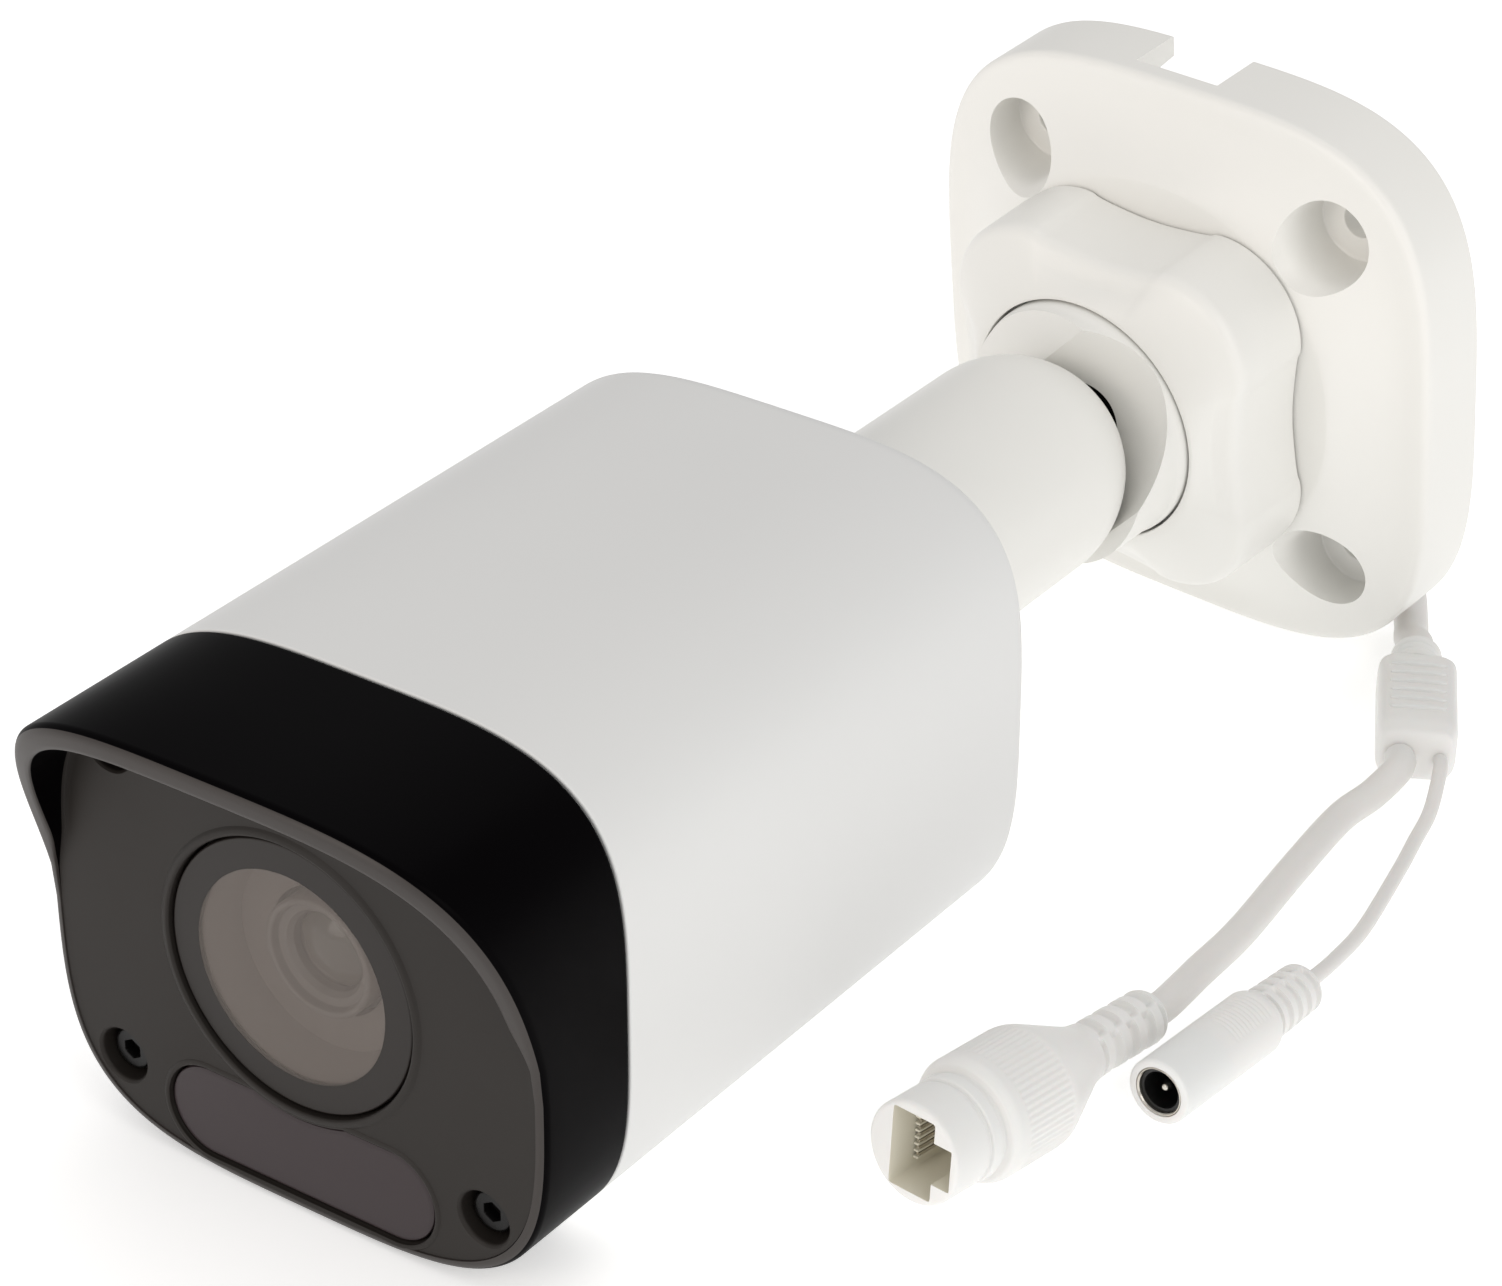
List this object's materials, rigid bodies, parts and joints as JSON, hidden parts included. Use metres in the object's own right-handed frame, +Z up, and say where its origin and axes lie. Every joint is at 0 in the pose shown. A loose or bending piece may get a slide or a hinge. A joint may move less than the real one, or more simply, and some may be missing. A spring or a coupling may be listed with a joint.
{
  "type": "security camera",
  "caption": "Bullet security camera: hooded body with lens and infrared windows, arm on a lockable three-axis wall bracket, and a Y lead with network and power sockets.",
  "frame": {"origin": "on the table, under the middle of the camera with its bracket (the lead left out)", "axes": "+Z up, the lens looks toward -Y, +X to the camera's left as it looks out; the wall side of the plate faces +Y"},
  "size_m": [0.1251, 0.2568, 0.0931],
  "materials": {
    "white_powder_coat": "satin powder coat",
    "base_powder_coat": "satin powder coat",
    "black_polycarbonate": "satin moulded",
    "window_glass": "polished",
    "infrared_acrylic": "polished",
    "black_rubber": "matt",
    "anodised_barrel": "black anodised",
    "zinc_steel": "zinc plated",
    "circuit_board": "solder mask",
    "chip": "smooth",
    "black_nylon": "moulded",
    "filter_glass": "coated",
    "clear_epoxy": "cast",
    "bare_aluminium": "machined",
    "white_pvc": "smooth",
    "white_moulding": "moulded",
    "nickel_brass": "nickel plated"
  },
  "bodies": {
    "base": {"base_plate": "base_powder_coat", "cable_gland": "black_rubber", "cable_main": "white_pvc", "cable_ethernet": "white_pvc", "cable_power": "white_pvc", "splitter": "white_moulding", "ethernet_housing": "white_moulding", "ethernet_contacts": "nickel_brass", "power_housing": "white_moulding", "power_sleeve": "nickel_brass", "power_pin": "nickel_brass"},
    "lock_ring": {"lock_ring": "base_powder_coat"},
    "turret": {"turret": "base_powder_coat"},
    "arm": {"arm": "base_powder_coat", "arm_seal": "black_rubber", "arm_nut": "zinc_steel"},
    "camera": {"bezel_screw_lower_left": "zinc_steel", "bezel_screw_lower_right": "zinc_steel", "bezel_screw_upper_left": "zinc_steel", "bezel_screw_upper_right": "zinc_steel", "board_pillar_1": "zinc_steel", "board_pillar_2": "zinc_steel", "board_pillar_3": "zinc_steel", "board_pillar_4": "zinc_steel", "body_shell": "white_powder_coat", "chassis_frame": "black_nylon", "filter_housing": "black_nylon", "front_bezel": "black_polycarbonate", "heat_spreader": "bare_aluminium", "image_sensor": "chip", "infrared_board": "circuit_board", "infrared_led_left": "clear_epoxy", "infrared_led_right": "clear_epoxy", "ir_window": "infrared_acrylic", "lens_barrel": "anodised_barrel", "lens_front_glass": "window_glass", "lens_mount": "black_nylon", "lens_window": "window_glass", "light_shield": "black_rubber", "main_board": "circuit_board", "sensor_board": "circuit_board"},
    "filter": {"filter_carriage": "chip", "infrared_cut_filter": "filter_glass"}
  },
  "joints": [
    {"name": "lock_ring_turn", "type": "hinge", "parent": "base", "child": "lock_ring", "pos_m": [-0.00472, 0.05685, 0.03982], "axis": [-0.0934, -0.9879, -0.1236], "range_deg": [0, 90]},
    {"name": "pan", "type": "hinge", "parent": "base", "child": "turret", "pos_m": [-0.00472, 0.05685, 0.03982], "axis": [-0.0934, -0.9879, -0.1236], "range_deg": [-180, 180]},
    {"name": "tilt", "type": "hinge", "parent": "turret", "child": "arm", "pos_m": [-0.00472, 0.05685, 0.03982], "axis": [-0.7225, -0.0182, 0.6912], "range_deg": [-7.75, 82.23]},
    {"name": "roll", "type": "hinge", "parent": "arm", "child": "camera", "pos_m": [-0.00472, 0.05685, 0.03982], "axis": [0, -0.9997, -0.0263], "range_deg": [-180, 180]},
    {"name": "filter_slide", "type": "slide", "parent": "camera", "child": "filter", "axis": [1, 0, 0], "range_m": [0, 0.008]}
  ]
}
